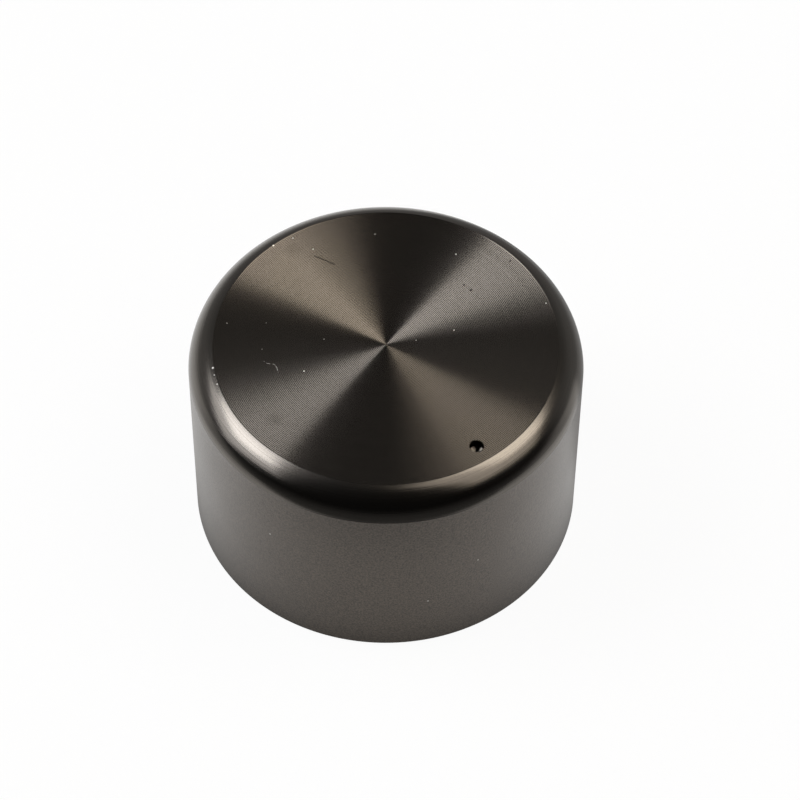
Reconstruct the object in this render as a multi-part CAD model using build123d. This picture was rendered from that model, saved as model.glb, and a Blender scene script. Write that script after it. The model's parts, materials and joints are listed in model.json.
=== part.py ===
from build123d import *
import math
import os

# Turned aluminium control knob with a radiused shoulder, a pointer dimple in its face
# and a grub screw that clamps it to a round shaft. All sizes are in millimetres.
# The origin is the centre of the rim that the knob stands on. +Z is the shaft's axis and
# leaves through the face. -Y is the side of the pointer dimple, +Y that of the screw.

# Outside of the turned body
knob_diameter = 46.0
knob_height = 28.0
shoulder_width = 2.9
shoulder_drop = 3.4
shoulder_radius = 4.0
rim_chamfer = 0.3

# Pointer dimple, drilled into the face close to its edge
dimple_diameter = 1.7
dimple_depth = 0.7
dimple_edge_distance = 2.25
drill_point_angle = 118.0

# Underside: a narrow rim to stand on, and a recess over the nut of the bush
rim_width = 3.0
relief_depth = 0.8
recess_diameter = 24.0
recess_depth = 5.0
recess_chamfer = 0.4

# Bore for the shaft, from the floor of the recess
shaft_diameter = 6.0
shaft_clearance = 0.05
bore_length = 16.0
bore_chamfer = 0.5

# Tapped hole in the side and its grub screw, an M4 with a hexagon socket
screw_size = 4.0
thread_pitch = 0.7
thread_clearance = 0.03
tapped_length = 9.5
access_clearance = 0.2
access_chamfer = 0.3
screw_from_recess = 6.0
screw_length = 8.0
screw_chamfer = 0.4
socket_width = 2.0
socket_depth = 2.5
cup_diameter = 2.0
cup_angle = 118.0
tip_gap = 0.1

# Places that follow from the sizes
knob_radius = knob_diameter / 2
face_radius = knob_radius - shoulder_width
side_top = knob_height - shoulder_drop
bore_radius = shaft_diameter / 2 + shaft_clearance
bore_end = recess_depth + bore_length
dimple_offset = face_radius - dimple_edge_distance
screw_height = recess_depth + screw_from_recess
# A thread fills half its depth, so each side of it is drawn at the pitch diameter.
pitch_radius = (screw_size - 0.65 * thread_pitch) / 2
tapped_end = bore_radius + tapped_length
tip_offset = bore_radius + tip_gap


def point_depth(radius, angle):
    """Height of the cone that a drill point of the given full angle leaves."""
    return radius / math.tan(math.radians(angle / 2))


def turned(*points):
    """Solid of revolution about Z from a closed outline of radius and height."""
    outline = Polyline(*points, close=True)
    return revolve(Plane.XZ * make_face(outline), Axis.Z)


def drilled_hole(radius, depth, angle=drill_point_angle):
    """Drilled hole with its mouth at the origin, going down, ended by the drill's point."""
    return turned((0, 0), (radius, 0), (radius, -depth), (0, -depth - point_depth(radius, angle)))


def along_y(start, height):
    """Place whose Z axis points out along +Y from a point on the knob's Y axis."""
    return Plane(origin=(0, start, height), x_dir=(1, 0, 0), z_dir=(0, 1, 0))


def body_blank():
    """Everything that the lathe cuts, as one half section turned about Z."""
    recess_radius = recess_diameter / 2
    land_radius = knob_radius - rim_width
    bore_tip = bore_end + point_depth(bore_radius, drill_point_angle)
    underside = [
        (0, bore_tip),
        (bore_radius, bore_end),
        (bore_radius, recess_depth + bore_chamfer),
        (bore_radius + bore_chamfer, recess_depth),
        (recess_radius, recess_depth),
        (recess_radius, relief_depth + recess_chamfer),
        (recess_radius + recess_chamfer, relief_depth),
        (land_radius, relief_depth),
        (land_radius, 0),
        (knob_radius - rim_chamfer, 0),
        (knob_radius, rim_chamfer),
        (knob_radius, side_top),
    ]
    shoulder = RadiusArc((knob_radius, side_top), (face_radius, knob_height), -shoulder_radius)
    face = Polyline((face_radius, knob_height), (0, knob_height), (0, bore_tip))
    outline = Curve() + [Polyline(*underside), shoulder, face]
    return revolve(Plane.XZ * make_face(outline), Axis.Z)


def pointer_dimple():
    """Blind drilled dimple that shows which way the knob points."""
    return Pos(0, -dimple_offset, knob_height) * drilled_hole(dimple_diameter / 2, dimple_depth)


def screw_hole():
    """Tapped hole from the bore outwards, then a clear hole for the screw and its key."""
    access_radius = screw_size / 2 + access_clearance
    mouth = access_radius + access_chamfer
    tapped = Cylinder(pitch_radius, tapped_end, align=(Align.CENTER, Align.CENTER, Align.MIN))
    access = turned(
        (0, tapped_end),
        (access_radius, tapped_end),
        (access_radius, knob_radius - access_chamfer),
        (mouth, knob_radius),
        (mouth, knob_radius + access_chamfer),
        (0, knob_radius + access_chamfer),
    )
    return along_y(0, screw_height) * (tapped + access)


def knob_body():
    return body_blank() - pointer_dimple() - screw_hole()


def grub_screw():
    """Headless screw with a cup point at its inner end and a hexagon socket at its outer end."""
    radius = pitch_radius - thread_clearance
    cup_radius = cup_diameter / 2
    blank = turned(
        (0, point_depth(cup_radius, cup_angle)),
        (cup_radius, 0),
        (radius - screw_chamfer, 0),
        (radius, screw_chamfer),
        (radius, screw_length - screw_chamfer),
        (radius - screw_chamfer, screw_length),
        (0, screw_length),
    )
    hexagon = RegularPolygon(socket_width / 2, 6, major_radius=False)
    socket = extrude(hexagon, -socket_depth)
    pilot = drilled_hole(socket_width / 2, socket_depth)
    cutter = Pos(0, 0, screw_length) * (socket + pilot)
    return along_y(tip_offset, screw_height) * (blank - cutter)


nodes = {
    "knob_body": knob_body(),
    "grub_screw": grub_screw(),
}

os.makedirs("parts", exist_ok=True)
for name, solid in nodes.items():
    export_step(solid, f"parts/{name}.step")
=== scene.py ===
import json
import math
import random

import bpy
from mathutils import Matrix, Vector

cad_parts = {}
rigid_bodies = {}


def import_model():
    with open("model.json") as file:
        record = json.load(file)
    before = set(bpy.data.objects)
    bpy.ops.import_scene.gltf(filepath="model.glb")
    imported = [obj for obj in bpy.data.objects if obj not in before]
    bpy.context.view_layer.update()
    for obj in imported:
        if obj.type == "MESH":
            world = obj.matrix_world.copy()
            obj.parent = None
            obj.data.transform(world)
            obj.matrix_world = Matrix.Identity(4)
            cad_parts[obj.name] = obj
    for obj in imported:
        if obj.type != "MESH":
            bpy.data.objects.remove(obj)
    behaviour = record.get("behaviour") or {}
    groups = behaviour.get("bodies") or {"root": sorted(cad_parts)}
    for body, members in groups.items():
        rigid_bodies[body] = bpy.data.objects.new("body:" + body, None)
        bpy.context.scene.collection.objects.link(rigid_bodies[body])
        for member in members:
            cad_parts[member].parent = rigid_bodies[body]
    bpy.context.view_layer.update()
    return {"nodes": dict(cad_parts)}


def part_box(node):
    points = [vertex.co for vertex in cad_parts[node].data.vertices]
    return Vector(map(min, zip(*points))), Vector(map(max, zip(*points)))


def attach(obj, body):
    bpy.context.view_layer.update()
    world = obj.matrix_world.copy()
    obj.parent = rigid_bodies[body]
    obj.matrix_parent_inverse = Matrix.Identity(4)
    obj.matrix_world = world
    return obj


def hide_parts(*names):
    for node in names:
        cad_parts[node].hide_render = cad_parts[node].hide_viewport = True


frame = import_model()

mm = 0.001  # sizes below are millimetres times this, so they end up in metres

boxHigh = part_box("knob_body")[1]
knobRadius = round(boxHigh.y, 4)
knobHeight = round(boxHigh.z, 4)


# small helpers for modelling

def deselectAll():
    if bpy.context.object and bpy.context.object.mode != "OBJECT":
        bpy.ops.object.mode_set(mode="OBJECT")
    bpy.ops.object.select_all(action="DESELECT")


def makeActive(piece):
    deselectAll()
    piece.select_set(True)
    bpy.context.view_layer.objects.active = piece


def settle(piece):
    # leaves the place of a piece in its mesh
    makeActive(piece)
    bpy.ops.object.transform_apply(location=True, rotation=True, scale=True)


def turnOnAxis(name, outline, steps, origin=(0, 0, 0), up=(0, 0, 1)):
    # lathe: draws the half outline point by point, then spins it round the axis
    up = Vector(up)
    out = up.orthogonal().normalized()
    origin = Vector(origin)
    points = [origin + out * r + up * h for r, h in outline]
    deselectAll()
    bpy.ops.mesh.primitive_plane_add(size=mm, location=points[0])
    piece = bpy.context.object
    piece.name = name
    settle(piece)
    bpy.ops.object.mode_set(mode="EDIT")
    bpy.ops.mesh.select_mode(type="VERT")
    bpy.ops.mesh.select_all(action="SELECT")
    bpy.ops.mesh.merge(type="CENTER")
    for start, end in zip(points, points[1:]):
        bpy.ops.mesh.extrude_region_move(TRANSFORM_OT_translate={"value": end - start})
    bpy.ops.mesh.select_all(action="SELECT")
    bpy.ops.mesh.spin(steps=steps, angle=math.tau, center=origin, axis=up)
    bpy.ops.mesh.select_all(action="SELECT")
    bpy.ops.mesh.remove_doubles(threshold=1e-6)
    bpy.ops.mesh.normals_make_consistent(inside=False)
    bpy.ops.object.mode_set(mode="OBJECT")
    return piece


def cutAway(piece, cutter):
    makeActive(piece)
    cut = piece.modifiers.new("cut", "BOOLEAN")
    cut.operation = "DIFFERENCE"
    cut.solver = "EXACT"
    cut.object = cutter
    bpy.ops.object.modifier_apply(modifier=cut.name)
    deselectAll()
    cutter.select_set(True)
    bpy.ops.object.delete()


def markCrisp(piece, isCrisp):
    # edges whose two ends pass the test stay crisp in the shading
    makeActive(piece)
    bpy.ops.object.mode_set(mode="EDIT")
    bpy.ops.mesh.select_mode(type="EDGE")
    bpy.ops.mesh.select_all(action="DESELECT")
    bpy.ops.object.mode_set(mode="OBJECT")
    spots = [v.co for v in piece.data.vertices]
    for edge in piece.data.edges:
        edge.select = isCrisp(*[spots[i] for i in edge.vertices])
    bpy.ops.object.mode_set(mode="EDIT")
    bpy.ops.mesh.mark_sharp()
    bpy.ops.object.mode_set(mode="OBJECT")


def assignWhere(piece, material, belongs):
    # gives a material to the faces whose centre passes the test
    makeActive(piece)
    piece.data.materials.append(material)
    piece.active_material_index = len(piece.data.materials) - 1
    bpy.ops.object.mode_set(mode="EDIT")
    bpy.ops.mesh.select_mode(type="FACE")
    bpy.ops.mesh.select_all(action="DESELECT")
    bpy.ops.object.mode_set(mode="OBJECT")
    for face in piece.data.polygons:
        face.select = belongs(face.center)
    bpy.ops.object.mode_set(mode="EDIT")
    bpy.ops.object.material_slot_assign()
    bpy.ops.object.mode_set(mode="OBJECT")


# small helpers for shaders

class Wire:
    def __init__(self, finish, socket):
        self.finish = finish
        self.socket = socket

    def math(self, operation, *others):
        return self.finish.add("ShaderNodeMath", {"operation": operation}, [self, *others])

    def __add__(self, other):
        return self.math("ADD", other)

    def __radd__(self, other):
        return self.math("ADD", other)

    def __sub__(self, other):
        return self.math("SUBTRACT", other)

    def __rsub__(self, other):
        return self.finish.add("ShaderNodeMath", {"operation": "SUBTRACT"}, [other, self])

    def __mul__(self, other):
        return self.math("MULTIPLY", other)

    def __rmul__(self, other):
        return self.math("MULTIPLY", other)

    def __truediv__(self, other):
        return self.math("DIVIDE", other)


def opaque(colour):
    return (*colour, 1) if isinstance(colour, tuple) and len(colour) == 3 else colour


def tints(colour, low, high):
    # a darker and a lighter tint of one colour
    return tuple(c * low for c in colour), tuple(c * high for c in colour)


def lengthOf(x, y):
    return (x * x + y * y).math("SQRT")


class Finish:
    def __init__(self, name):
        self.material = bpy.data.materials.new(name)
        self.material.use_nodes = True
        self.nodes = self.material.node_tree.nodes
        self.links = self.material.node_tree.links
        self.nodes.clear()
        self.surface = self.nodes.new("ShaderNodeBsdfPrincipled")
        self.output = self.nodes.new("ShaderNodeOutputMaterial")
        self.links.new(self.surface.outputs[0], self.output.inputs[0])

    def join(self, value, socket):
        if isinstance(value, Wire):
            self.links.new(value.socket, socket)
        else:
            socket.default_value = value

    def add(self, kind, settings=None, inputs=(), output=0):
        node = self.nodes.new(kind)
        for key, setting in (settings or {}).items():
            setattr(node, key, setting)
        named = inputs if isinstance(inputs, dict) else dict(enumerate(inputs))
        for key, value in named.items():
            self.join(value, node.inputs[key])
        return Wire(self, node.outputs[output])

    def set(self, **values):
        for key, value in values.items():
            self.join(value, self.surface.inputs[key.replace("_", " ")])
        return self.material

    def place(self):
        return self.add("ShaderNodeTexCoord", output="Object")

    def axes(self, place=None):
        place = place or self.place()
        return [self.add("ShaderNodeSeparateXYZ", inputs=[place], output=i) for i in range(3)]

    def noise(self, scale, detail, roughness=0.5):
        inputs = {"Vector": self.place(), "Scale": scale, "Detail": detail, "Roughness": roughness}
        return self.add("ShaderNodeTexNoise", inputs=inputs)

    def lines(self, along, scale, detail):
        inputs = {"W": along, "Scale": scale, "Detail": detail}
        return self.add("ShaderNodeTexNoise", {"noise_dimensions": "1D"}, inputs)

    def ramp(self, value, start, end):
        # runs from 0 at start to 1 at end
        return self.add("ShaderNodeMapRange", {"interpolation_type": "SMOOTHSTEP"}, [value, start, end])

    def between(self, factor, low, high):
        # a value that runs from low to high with the factor
        return factor * (high - low) + low

    def around(self, factor, middle, spread):
        # a value that strays from the middle by the spread at most
        return self.between(factor, middle - spread, middle + spread)

    def blend(self, factor, first, second):
        inputs = {0: factor, 6: opaque(first), 7: opaque(second)}
        return self.add("ShaderNodeMix", {"data_type": "RGBA"}, inputs, output=2)

    def bump(self, height, strength, distance):
        inputs = {"Strength": strength, "Distance": distance, "Height": height}
        return self.add("ShaderNodeBump", inputs=inputs)


# turned body

body = {
    "shoulderWidth": 2.9 * mm,
    "shoulderDrop": 3.4 * mm,
    "shoulderArc": 4.0 * mm,
    "shoulderSteps": 14,
    "rimChamfer": 0.3 * mm,
    "rimWidth": 3.0 * mm,
    "relief": 0.8 * mm,
    "recessRadius": 12.0 * mm,
    "recessDepth": 5.0 * mm,
    "recessChamfer": 0.4 * mm,
    "boreRadius": 3.05 * mm,
    "boreLength": 16.0 * mm,
    "boreChamfer": 0.5 * mm,
    "groovePitch": 0.2 * mm,
    "grooveDepth": 0.050 * mm,
    "grooveShape": ((0.13, 0.53), (0.30, 0.91), (0.58, 1.0)),
    "grooveUneven": 0.02,
    "edgeCutWidth": 0.09 * mm,
    "edgeCutDepth": 0.035 * mm,
    "roundSteps": 224,
    "holeSteps": 48,
    "smoothAngle": math.radians(42),
    "nearEdge": 0.02 * mm,
    "dimpleRadius": 0.85 * mm,
    "dimpleDepth": 1.15 * mm,
    "dimpleEdgeDistance": 2.25 * mm,
    "screwHeight": 11.0 * mm,
    "accessRadius": 2.2 * mm,
    "accessEnd": 12.55 * mm,
    "tappedRadius": 1.7725 * mm,
    "mouthChamfer": 0.3 * mm,
    "drillHalfAngle": math.radians(59),
}
faceRadius = knobRadius - body["shoulderWidth"]
sideTop = knobHeight - body["shoulderDrop"]


def faceOutline():
    # shallow scallops that the tool leaves, one each turn, and a fine cut round the edge
    uneven = random.Random(11)
    pitch = body["groovePitch"]
    edge = faceRadius - body["edgeCutWidth"]
    count = int(edge / pitch)
    start = edge - count * pitch
    points = [(0, knobHeight - body["grooveDepth"] / 2), (start, knobHeight)]
    for i in range(count):
        inner = start + i * pitch
        depth = body["grooveDepth"] * uneven.gauss(1, body["grooveUneven"])
        for across, down in body["grooveShape"]:
            points.append((inner + pitch * across, knobHeight - depth * down))
        points.append((inner + pitch, knobHeight))
    points.append((faceRadius - body["edgeCutWidth"] / 2, knobHeight - body["edgeCutDepth"]))
    points.append((faceRadius, knobHeight))
    return points


def shoulderOutline():
    # arc through the edge of the face and the top of the side wall
    first = Vector((faceRadius, knobHeight))
    last = Vector((knobRadius, sideTop))
    chord = last - first
    reach = math.sqrt(body["shoulderArc"] ** 2 - chord.length_squared / 4)
    centre = (first + last) / 2 + Vector((chord.y, -chord.x)).normalized() * reach
    startAngle = math.atan2(*reversed(first - centre))
    endAngle = math.atan2(*reversed(last - centre))
    points = []
    for i in range(1, body["shoulderSteps"] + 1):
        angle = startAngle + (endAngle - startAngle) * i / body["shoulderSteps"]
        points.append((centre.x + math.cos(angle) * body["shoulderArc"],
                       centre.y + math.sin(angle) * body["shoulderArc"]))
    return points


def undersideOutline():
    boreEnd = body["recessDepth"] + body["boreLength"]
    landRadius = knobRadius - body["rimWidth"]
    return [
        (knobRadius, body["rimChamfer"]),
        (knobRadius - body["rimChamfer"], 0),
        (landRadius, 0),
        (landRadius, body["relief"]),
        (body["recessRadius"] + body["recessChamfer"], body["relief"]),
        (body["recessRadius"], body["relief"] + body["recessChamfer"]),
        (body["recessRadius"], body["recessDepth"]),
        (body["boreRadius"] + body["boreChamfer"], body["recessDepth"]),
        (body["boreRadius"], body["recessDepth"] + body["boreChamfer"]),
        (body["boreRadius"], boreEnd),
        (0, boreEnd + body["boreRadius"] / math.tan(body["drillHalfAngle"])),
    ]


def ringRadius(spot):
    return math.hypot(spot.x, spot.y)


def makeBody():
    outline = faceOutline() + shoulderOutline() + undersideOutline()
    piece = turnOnAxis("turned_body", outline, body["roundSteps"])
    dimpleY = -(faceRadius - body["dimpleEdgeDistance"])
    r = body["dimpleRadius"]
    point = body["dimpleDepth"] + r / math.tan(body["drillHalfAngle"])
    cone = [(0, mm), (r, mm), (r, -body["dimpleDepth"]), (0, -point)]
    drill = turnOnAxis("drill", cone, body["holeSteps"], origin=(0, dimpleY, knobHeight))
    cutAway(piece, drill)
    tapped, access = body["tappedRadius"], body["accessRadius"]
    mouth = access + body["mouthChamfer"]
    hole = [(0, 0), (tapped, 0), (tapped, body["accessEnd"]), (access, body["accessEnd"]),
            (access, knobRadius - body["mouthChamfer"]), (mouth, knobRadius),
            (mouth, knobRadius + mm), (0, knobRadius + mm)]
    drill = turnOnAxis("drill", hole, body["holeSteps"], origin=(0, 0, body["screwHeight"]), up=(0, 1, 0))
    cutAway(piece, drill)
    near = body["nearEdge"]

    def onCrispRing(a, b):
        # the edge of the face and the crease at the top of the side
        rings = (faceRadius, knobHeight), (knobRadius, sideTop)
        return any(all(abs(ringRadius(v) - r) < near and abs(v.z - z) < near for v in (a, b))
                   for r, z in rings)

    markCrisp(piece, onCrispRing)
    makeActive(piece)
    bpy.ops.object.shade_smooth_by_angle(angle=body["smoothAngle"], keep_sharp_edges=True)
    print("turned body:", len(piece.data.polygons), "faces")
    return piece, dimpleY


# finishes

metal = {
    "face": {"colour": (0.108, 0.096, 0.083), "roughness": 0.17, "roughnessSpread": 0.02, "metallic": 0.93,
             "tints": (0.8, 1.2), "blotchTones": (0.92, 1.08), "ringTones": (0.9, 1.1), "hueShare": 0.12,
             "blotchScale": 90, "hueScale": 420, "ringScale": 2600, "grainScale": 9000,
             "bumpStrength": 0.08, "bumpDepth": 0.01 * mm},
    "shoulder": {"colour": (0.150, 0.137, 0.122), "roughness": 0.20, "roughnessSpread": 0.03,
                 "tints": (0.8, 1.2), "lineTones": (-0.3, 0.7), "speckleShare": 0.6,
                 "blotchScale": 120, "lineScale": 6500, "speckleScale": 6000,
                 "bumpStrength": 0.5, "bumpDepth": 0.015 * mm},
    "side": {"colour": (0.084, 0.067, 0.051), "roughness": 0.40, "roughnessSpread": 0.05,
             "tints": (0.6, 1.4), "grainEdge": (0.25, 0.75),
             "coat": 0.5, "coatRoughness": 0.30, "coatIor": 1.55,
             "blotchScale": 150, "grainScale": 5000, "grainRoughness": 0.7,
             "bumpStrength": 0.5, "bumpDepth": 0.03 * mm},
    "dimple": {"colour": (0.046, 0.042, 0.036), "roughness": 0.095, "roughnessSpread": 0.025,
               "tints": (1, 1.3), "swirlScale": 3000},
    "underside": {"roughness": 0.35, "roughnessSpread": 0.05, "tints": (0.8, 1.2),
                  "blotchScale": 120, "lineScale": 7000,
                  "bumpStrength": 0.5, "bumpDepth": 0.02 * mm},
    "screw": {"colour": (0.085, 0.085, 0.09), "roughness": 0.375, "roughnessSpread": 0.075,
              "tints": (0.7, 1.3), "grainScale": 4000, "bumpStrength": 0.3, "bumpDepth": 0.03 * mm},
}
# spots in millimetres: x, y and radius on the face, x, y, z and radius on the side
wear = {
    "dust": ((0.17, 19.51, 0.09), (1.16, 16.74, 0.08), (8.51, 14.46, 0.07), (-13.35, 13.16, 0.07),
             (-5.45, 4.76, 0.06), (-12.15, 7.63, 0.05), (-9.98, 2.19, 0.08), (14.59, 6.45, 0.09),
             (18.86, -5.62, 0.09), (7.68, -2.76, 0.07), (3.21, -1.45, 0.05), (-9.6, 10.6, 0.05)),
    "darkSpecks": ((19.19, 1.94, 0.13), (12.82, 0.98, 0.16), (12.59, 2.07, 0.10)),
    "smudges": ((-0.78, 18.09, 0.9), (-16.66, -1.59, 0.8)),
    "fibre": ((-12.94, 6.03), (-12.86, 5.60), (-12.52, 5.24), (-12.20, 4.96), (-12.26, 4.38), (-12.51, 3.78)),
    "fibreWidth": 0.045,
    "scratch": ((0.75, 15.71), (1.28, 14.70), (1.89, 13.42)),
    "scratchWidth": 0.13,
    "nicks": ((-18.32, 8.59, 28.0, 0.15), (-18.75, 7.62, 28.0, 0.09), (-2.37, 19.90, 28.0, 0.12),
              (-19.21, 6.32, 28.0, 0.08)),
    "sideDust": ((-8.85, -21.23, 8.36, 0.10), (-2.98, -22.81, 13.74, 0.09), (-21.66, -7.74, 16.56, 0.10)),
    "sideMark": ((-22.73, 3.51, 12.69, 0.14),),
    "faceSpotDrop": 0.02,
    "spotEdge": 0.9,
    "scratchShare": 0.75,
    "smudgeShare": 0.2,
    "smudgeSoftness": 0.9,
    "speckSoftness": 0.5,
    "fibreShare": 0.55,
    "fibreScale": 2500,
    "fibreGaps": (0.3, 0.6),
    "dustShare": 0.8,
    "markShare": 0.6,
    "dustRoughness": 0.8,
    "bareRoughness": 0.45,
    "scratchColour": (0.012, 0.010, 0.008),
    "markColour": (0.01, 0.009, 0.008),
    "dustColour": (0.62, 0.61, 0.58),
    "bareColour": (0.70, 0.68, 0.64),
}


def spotMask(finish, spots, soft=0.3):
    # 1 inside any of the spots, 0 elsewhere, with a soft edge
    place = finish.place()
    mask = None
    for *spot, radius in spots:
        if len(spot) == 2:
            spot = (*spot, knobHeight / mm - wear["faceSpotDrop"])
        centre = [v * mm for v in spot]
        far = finish.add("ShaderNodeVectorMath", {"operation": "DISTANCE"}, [place, centre], output="Value")
        outer, inner = (radius * mm * (wear["spotEdge"] + way * soft) for way in (1, -1))
        near = finish.ramp(far, outer, inner)
        mask = near if mask is None else mask.math("MAXIMUM", near)
    return mask


def strandMask(finish, x, y, points, width):
    # 1 on a thin strand laid through the points
    mask = None
    for (ax, ay), (bx, by) in zip(points, points[1:]):
        runX, runY = (bx - ax) * mm, (by - ay) * mm
        px, py = x - ax * mm, y - ay * mm
        share = (px * runX + py * runY) / (runX ** 2 + runY ** 2)
        share = share.math("MAXIMUM", 0.0).math("MINIMUM", 1.0)
        dx, dy = px - share * runX, py - share * runY
        near = finish.ramp(lengthOf(dx, dy), width * mm, width * mm * 0.3)
        mask = near if mask is None else mask.math("MAXIMUM", near)
    return mask


def finishFace():
    look = metal["face"]
    finish = Finish("spunFace")
    x, y, z = finish.axes()
    r = lengthOf(x, y)
    blotch = finish.noise(look["blotchScale"], 3)
    hue = finish.noise(look["hueScale"], 2)
    ringTone = finish.lines(r, look["ringScale"], 1)
    shade = finish.between(blotch, *look["blotchTones"]) * finish.between(ringTone, *look["ringTones"])
    dark, light = tints(look["colour"], *look["tints"])
    colour = finish.blend(shade * (1 + (hue - 0.5) * look["hueShare"]) - 0.5, dark, light)
    scratch = strandMask(finish, x, y, wear["scratch"], wear["scratchWidth"]) * wear["scratchShare"]
    smudge = spotMask(finish, wear["smudges"], wear["smudgeSoftness"]) * wear["smudgeShare"]
    speck = spotMask(finish, wear["darkSpecks"], wear["speckSoftness"])
    dirt = scratch.math("MAXIMUM", smudge).math("MAXIMUM", speck)
    colour = finish.blend(dirt, colour, wear["scratchColour"])
    nick = spotMask(finish, wear["nicks"])
    colour = finish.blend(nick, colour, wear["bareColour"])
    strand = strandMask(finish, x, y, wear["fibre"], wear["fibreWidth"])
    broken = finish.ramp(finish.noise(wear["fibreScale"], 1), *wear["fibreGaps"])
    fibre = strand * broken * wear["fibreShare"]
    dust = (spotMask(finish, wear["dust"]) * wear["dustShare"]).math("MAXIMUM", fibre)
    colour = finish.blend(dust, colour, wear["dustColour"])
    grain = finish.lines(r, look["grainScale"], 1)
    rough = finish.around(blotch, look["roughness"], look["roughnessSpread"])
    rough = rough.math("MAXIMUM", dust * wear["dustRoughness"]).math("MAXIMUM", nick * wear["bareRoughness"])
    return finish.set(Metallic=(1 - dust) * look["metallic"], Base_Color=colour, Roughness=rough,
                      Normal=finish.bump(grain, look["bumpStrength"], look["bumpDepth"]))


def finishShoulder():
    look = metal["shoulder"]
    finish = Finish("turnedShoulder")
    x, y, z = finish.axes()
    along = lengthOf(x, y) - z
    blotch = finish.noise(look["blotchScale"], 3)
    lines = finish.lines(along, look["lineScale"], 1)
    speckle = finish.noise(look["speckleScale"], 2)
    dark, light = tints(look["colour"], *look["tints"])
    nick = spotMask(finish, wear["nicks"])
    tone = finish.between(lines, *look["lineTones"]) + speckle * look["speckleShare"]
    colour = finish.blend(tone, dark, light)
    colour = finish.blend(nick, colour, wear["bareColour"])
    rough = finish.around(blotch, look["roughness"], look["roughnessSpread"])
    return finish.set(Metallic=1.0, Base_Color=colour,
                      Roughness=rough.math("MAXIMUM", nick * wear["bareRoughness"]),
                      Normal=finish.bump(lines, look["bumpStrength"], look["bumpDepth"]))


def finishSide():
    look = metal["side"]
    finish = Finish("mattSide")
    grain = finish.noise(look["grainScale"], 1, roughness=look["grainRoughness"])
    grain = finish.ramp(grain, *look["grainEdge"])
    blotch = finish.noise(look["blotchScale"], 3)
    dark, light = tints(look["colour"], *look["tints"])
    dust = spotMask(finish, wear["sideDust"])
    mark = spotMask(finish, wear["sideMark"]) * wear["markShare"]
    colour = finish.blend(mark, finish.blend(grain, dark, light), wear["markColour"])
    colour = finish.blend(dust, colour, wear["dustColour"])
    rough = finish.around(blotch, look["roughness"], look["roughnessSpread"])
    return finish.set(Metallic=1 - dust, Base_Color=colour,
                      Roughness=rough.math("MAXIMUM", dust * wear["dustRoughness"]),
                      Coat_Weight=(1 - mark) * look["coat"], Coat_Roughness=look["coatRoughness"],
                      Coat_IOR=look["coatIor"],
                      Normal=finish.bump(grain, look["bumpStrength"], look["bumpDepth"]))


def finishDimple():
    look = metal["dimple"]
    finish = Finish("drilledDimple")
    swirl = finish.noise(look["swirlScale"], 2)
    dark, light = tints(look["colour"], *look["tints"])
    return finish.set(Metallic=1.0, Base_Color=finish.blend(swirl, dark, light),
                      Roughness=finish.around(swirl, look["roughness"], look["roughnessSpread"]))


def finishUnderside():
    look = metal["underside"]
    finish = Finish("turnedUnderside")
    x, y, z = finish.axes()
    lines = finish.lines(lengthOf(x, y) + z, look["lineScale"], 2)
    blotch = finish.noise(look["blotchScale"], 3)
    dark, light = tints(metal["side"]["colour"], *look["tints"])
    return finish.set(Metallic=1.0, Base_Color=finish.blend(blotch, dark, light),
                      Roughness=finish.around(blotch, look["roughness"], look["roughnessSpread"]),
                      Normal=finish.bump(lines, look["bumpStrength"], look["bumpDepth"]))


def finishScrew():
    look = metal["screw"]
    finish = Finish("blackenedSteel")
    grain = finish.noise(look["grainScale"], 3)
    dark, light = tints(look["colour"], *look["tints"])
    return finish.set(Metallic=1.0, Base_Color=finish.blend(grain, dark, light),
                      Roughness=finish.around(grain, look["roughness"], look["roughnessSpread"]),
                      Normal=finish.bump(grain, look["bumpStrength"], look["bumpDepth"]))


turnedBody, dimpleY = makeBody()


# where each finish lies, told by the centre of a face of the mesh

def inDimple(c):
    return math.hypot(c.x, c.y - dimpleY) < body["dimpleRadius"] * 0.999 and c.z > knobHeight - 2 * mm


def onFace(c):
    return c.z > knobHeight - 0.1 * mm and ringRadius(c) < faceRadius and not inDimple(c)


def onShoulder(c):
    return c.z > sideTop and ringRadius(c) > faceRadius - 0.01 * mm


def onSide(c):
    return body["rimChamfer"] * 0.3 < c.z < sideTop and ringRadius(c) > knobRadius - 0.25 * mm


assignWhere(turnedBody, finishUnderside(), lambda c: True)
assignWhere(turnedBody, finishFace(), onFace)
assignWhere(turnedBody, finishShoulder(), onShoulder)
assignWhere(turnedBody, finishSide(), onSide)
assignWhere(turnedBody, finishDimple(), inDimple)
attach(turnedBody, "root")
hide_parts("knob_body")

screw = frame["nodes"]["grub_screw"]
screw.data.materials.clear()
screw.data.materials.append(finishScrew())
print("finishes done")


# studio

studio = {
    "viewTurn": -35.18,
    "cameraDistance": 402.4 * mm,
    "cameraElevation": math.radians(54.022),
    "aim": (1.67 * mm, 0, 17.44 * mm),
    "roll": math.radians(0.57),
    "lens": 147.9,
    "sensor": 36,
    "floorReach": 2.0,
    "wallBend": 0.3,
    "bendSteps": 8,
    "roundSteps": 96,
    "wallHeight": 3.8,
    "world": 0.01,
}
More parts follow.
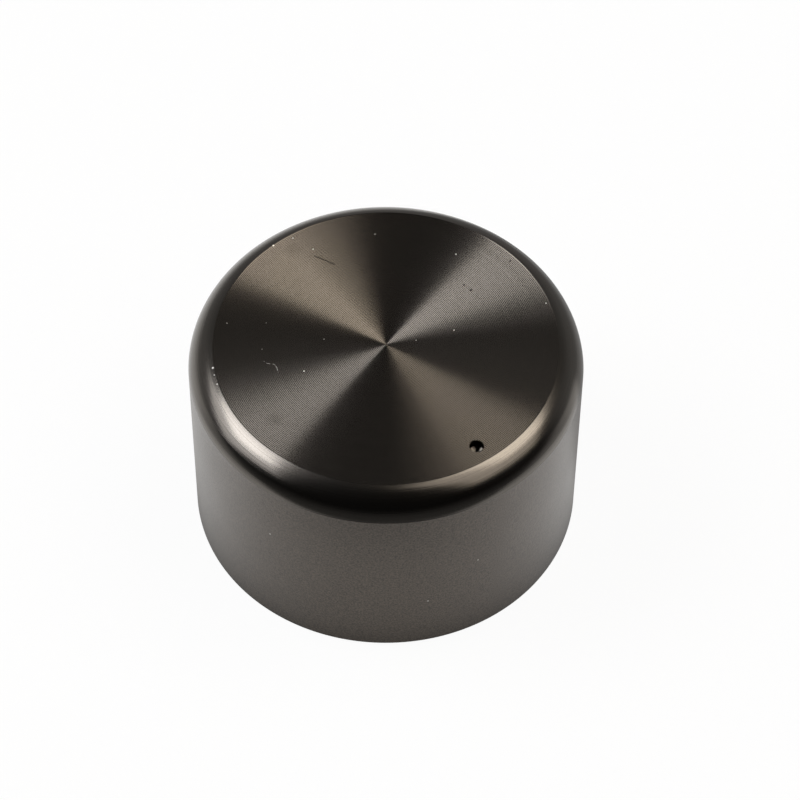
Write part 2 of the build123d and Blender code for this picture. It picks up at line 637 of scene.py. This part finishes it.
# places in metres, x to the right of the camera and y away from it, and tones where 1 is white
paperAndPaintedReflection = {
    "colour": (0.9, 0.9, 0.9, 1),
    "whiteShare": 0.94,
    # from here on, tones of a painted reflection that the metal sees: painted shade nearer the camera and at
    # the flanks, painted light beside the knob, painted shadows at the right and round the base, and a
    # painted glow on the wall behind
    "frontFade": (-0.056, -0.038),
    "flankAcross": (0.058, 0.085),
    "flankAlong": (0.040, 0.0),
    "flankShare": 0.55,
    "besideFade": (-0.032, -0.002),
    "besideTones": (0.8, 1.15),
    "cornerAcross": (0.012, 0.022),
    "cornerAlong": (-0.0145, -0.0080),
    "cornerSlope": 0.5,
    "cornerShare": 0.62,
    "paintedShadowRadius": 0.021,
    "paintedShadowFade": 0.0045,
    "farFade": (0.07, 0.20),
    "farTone": 0.62,
    "edgeFade": (0.2, 1.5),
    "edgeShare": 0.2,
    "darkest": 0.12,
    "wallStart": (1.6, 1.9),
    "wallBehind": (-0.3, 0.8),
    "wallUp": (0.0, 2.4),
    "paintedWallGlowTone": 0.27,
    "paintedWallGlowLeast": 0.012,
}
# turn is counted from the right of the camera, against the clock
lamps = {
    "leftBox": {"turn": 179.6, "height": 37.6, "roll": 45.6, "size": (0.82, 1.06), "away": 1.2,
                "radiance": 1.98, "colour": (0.99, 1.0, 1.03)},
    "leftCore": {"turn": 170.6, "height": 52.4, "roll": 56.0, "size": (0.48, 0.78), "away": 1.19,
                 "radiance": 4.43, "colour": (0.99, 1.0, 1.03)},
    "rightBox": {"turn": -9.2, "height": 55.5, "roll": -28.4, "size": (0.80, 1.15), "away": 1.2,
                 "radiance": 1.44, "colour": (1.0, 0.93, 0.83)},
    "rightCore": {"turn": 20.4, "height": 61.0, "roll": -49.2, "size": (0.46, 0.77), "away": 1.19,
                  "radiance": 2.87, "colour": (1.0, 0.93, 0.83)},
}


def fromView(spot):
    # turns a place told by right, away and up of the camera into the part's frame
    return Matrix.Rotation(math.radians(studio["viewTurn"]), 3, "Z") @ Vector(spot)


def makeCamera():
    data = bpy.data.cameras.new("camera")
    data.lens = studio["lens"]
    data.sensor_width = studio["sensor"]
    data.clip_start = 0.01
    camera = bpy.data.objects.new("camera", data)
    bpy.context.scene.collection.objects.link(camera)
    tilt = studio["cameraElevation"]
    camera.location = fromView((0, -math.cos(tilt), math.sin(tilt))) * studio["cameraDistance"]
    look = fromView(studio["aim"]) - camera.location
    turn = look.to_track_quat("-Z", "Y").to_matrix().to_4x4() @ Matrix.Rotation(studio["roll"], 4, "Z")
    camera.rotation_mode = "QUATERNION"
    camera.rotation_quaternion = turn.to_quaternion()
    bpy.context.scene.camera = camera


def makeLamp(name, lamp):
    bpy.ops.object.light_add(type="AREA")
    light = bpy.context.object
    light.name = name
    light.data.shape = "RECTANGLE"
    light.data.size, light.data.size_y = lamp["size"]
    light.data.energy = lamp["radiance"] * math.pi * light.data.size * light.data.size_y
    light.data.color = lamp["colour"]
    turn, height = math.radians(lamp["turn"]), math.radians(lamp["height"])
    back = Vector((math.cos(height) * math.cos(turn), math.cos(height) * math.sin(turn), math.sin(height)))
    level = back.cross(Vector((0, 0, 1))).normalized()
    across = Matrix.Rotation(math.radians(lamp["roll"]), 3, back) @ level
    axes = [fromView(across), fromView(back.cross(across)), fromView(back)]
    light.matrix_world = Matrix(axes).transposed().to_4x4()
    light.location = fromView(back) * lamp["away"]


def makeBackdrop():
    # round floor that bends up into a wall all round
    reach, bend = studio["floorReach"], studio["wallBend"]
    outline = [(0, 0), (reach - bend, 0)]
    for i in range(1, studio["bendSteps"] + 1):
        angle = math.radians(i * 90 / studio["bendSteps"])
        outline.append((reach - bend + bend * math.sin(angle), bend - bend * math.cos(angle)))
    outline.append((reach, studio["wallHeight"]))
    backdrop = turnOnAxis("backdrop", outline, studio["roundSteps"])
    makeActive(backdrop)
    bpy.ops.object.mode_set(mode="EDIT")
    bpy.ops.mesh.select_all(action="SELECT")
    bpy.ops.mesh.normals_make_consistent(inside=True)
    bpy.ops.object.mode_set(mode="OBJECT")
    bpy.ops.object.shade_smooth()
    backdrop.data.materials.append(finishPaperAndPaintedReflection())


def finishPaperAndPaintedReflection():
    # the camera sees the floor white with a trace of the shadows; polished metal sees a painted reflection
    # instead, bright round the knob and behind it, painted dim nearer the camera, with painted shadows and a
    # painted glow on the wall
    finish = Finish("whitePaperAndPaintedReflection")
    turned = finish.add("ShaderNodeMapping", inputs={"Vector": finish.place(),
                                                     "Rotation": (0, 0, -math.radians(studio["viewTurn"]))})
    x, y, z = finish.axes(turned)
    r = lengthOf(x, y)
    # painted shade for the metal's reflections: dim nearer the camera and at the two flanks, painted light
    # beside the knob
    paintedFrontShade = finish.ramp(y, *paperAndPaintedReflection["frontFade"])
    paintedFlankShade = finish.ramp(x.math("ABSOLUTE"), *paperAndPaintedReflection["flankAcross"]) * finish.ramp(y, *paperAndPaintedReflection["flankAlong"])
    paintedSideLight = finish.between(finish.ramp(y, *paperAndPaintedReflection["besideFade"]), *paperAndPaintedReflection["besideTones"])
    # painted shade on the floor to the right of the knob, and a painted contact shadow round its base
    cornerAlong = finish.ramp(y - x * paperAndPaintedReflection["cornerSlope"], *paperAndPaintedReflection["cornerAlong"])
    paintedCornerShade = 1 - finish.ramp(x, *paperAndPaintedReflection["cornerAcross"]) * cornerAlong * paperAndPaintedReflection["cornerShare"]
    paintedContactShadow = 1 - ((paperAndPaintedReflection["paintedShadowRadius"] - r) / paperAndPaintedReflection["paintedShadowFade"]).math("EXPONENT")
    paintedContactShadow = paintedContactShadow.math("MAXIMUM", 0.0)
    # the painted reflection dims away from the knob and towards the rim of the floor
    far = finish.between(finish.ramp(r, *paperAndPaintedReflection["farFade"]), 1.0, paperAndPaintedReflection["farTone"])
    far = far - finish.ramp(r, *paperAndPaintedReflection["edgeFade"]) * paperAndPaintedReflection["edgeShare"]
    paintedFloorReflection = (paintedFrontShade * (1 - paintedFlankShade * paperAndPaintedReflection["flankShare"])).math("MAXIMUM", paperAndPaintedReflection["darkest"])
    paintedFloorReflection = paintedFloorReflection * paintedSideLight * paintedCornerShade * paintedContactShadow * far
    paintedFloorReflection = paintedFloorReflection.math("MINIMUM", 1.0)
    # painted glow on the wall behind, fading upwards, which the metal sees in place of a lit room
    rise = 1 - finish.ramp(z, *paperAndPaintedReflection["wallUp"])
    wall = finish.ramp(y, *paperAndPaintedReflection["wallBehind"]) * rise * paperAndPaintedReflection["paintedWallGlowTone"] + paperAndPaintedReflection["paintedWallGlowLeast"]
    # tone is the painted reflection of floor and wall, seen only by glossy rays
    tone = finish.blend(finish.ramp(r, *paperAndPaintedReflection["wallStart"]), paintedFloorReflection, wall)
    finish.set(Base_Color=paperAndPaintedReflection["colour"], Roughness=0.9, Specular_IOR_Level=0.0)
    camera = finish.add("ShaderNodeLightPath", output="Is Camera Ray")
    glossy = finish.add("ShaderNodeLightPath", output="Is Glossy Ray")
    # camera rays see white, glossy rays see the painted reflection tone
    whiteAndPaintedReflection = finish.add("ShaderNodeEmission", inputs=[finish.blend(camera, tone, (1.0, 1.0, 1.0)), 1.0])
    surface = Wire(finish, finish.surface.outputs[0])
    share = (camera * paperAndPaintedReflection["whiteShare"]).math("MAXIMUM", glossy)
    mix = finish.add("ShaderNodeMixShader", inputs=[share, surface, whiteAndPaintedReflection])
    finish.join(mix, finish.output.inputs[0])
    finish.material.cycles.emission_sampling = "NONE"
    return finish.material


def makeWorld():
    world = bpy.data.worlds.new("studio")
    world.use_nodes = True
    dim = studio["world"]
    world.node_tree.nodes["Background"].inputs[0].default_value = (dim, dim, dim, 1)
    bpy.context.scene.world = world


makeCamera()
for lampName, lamp in lamps.items():
    makeLamp(lampName, lamp)
makeBackdrop()
makeWorld()
bpy.context.scene.view_settings.view_transform = "Standard"
print("studio done")
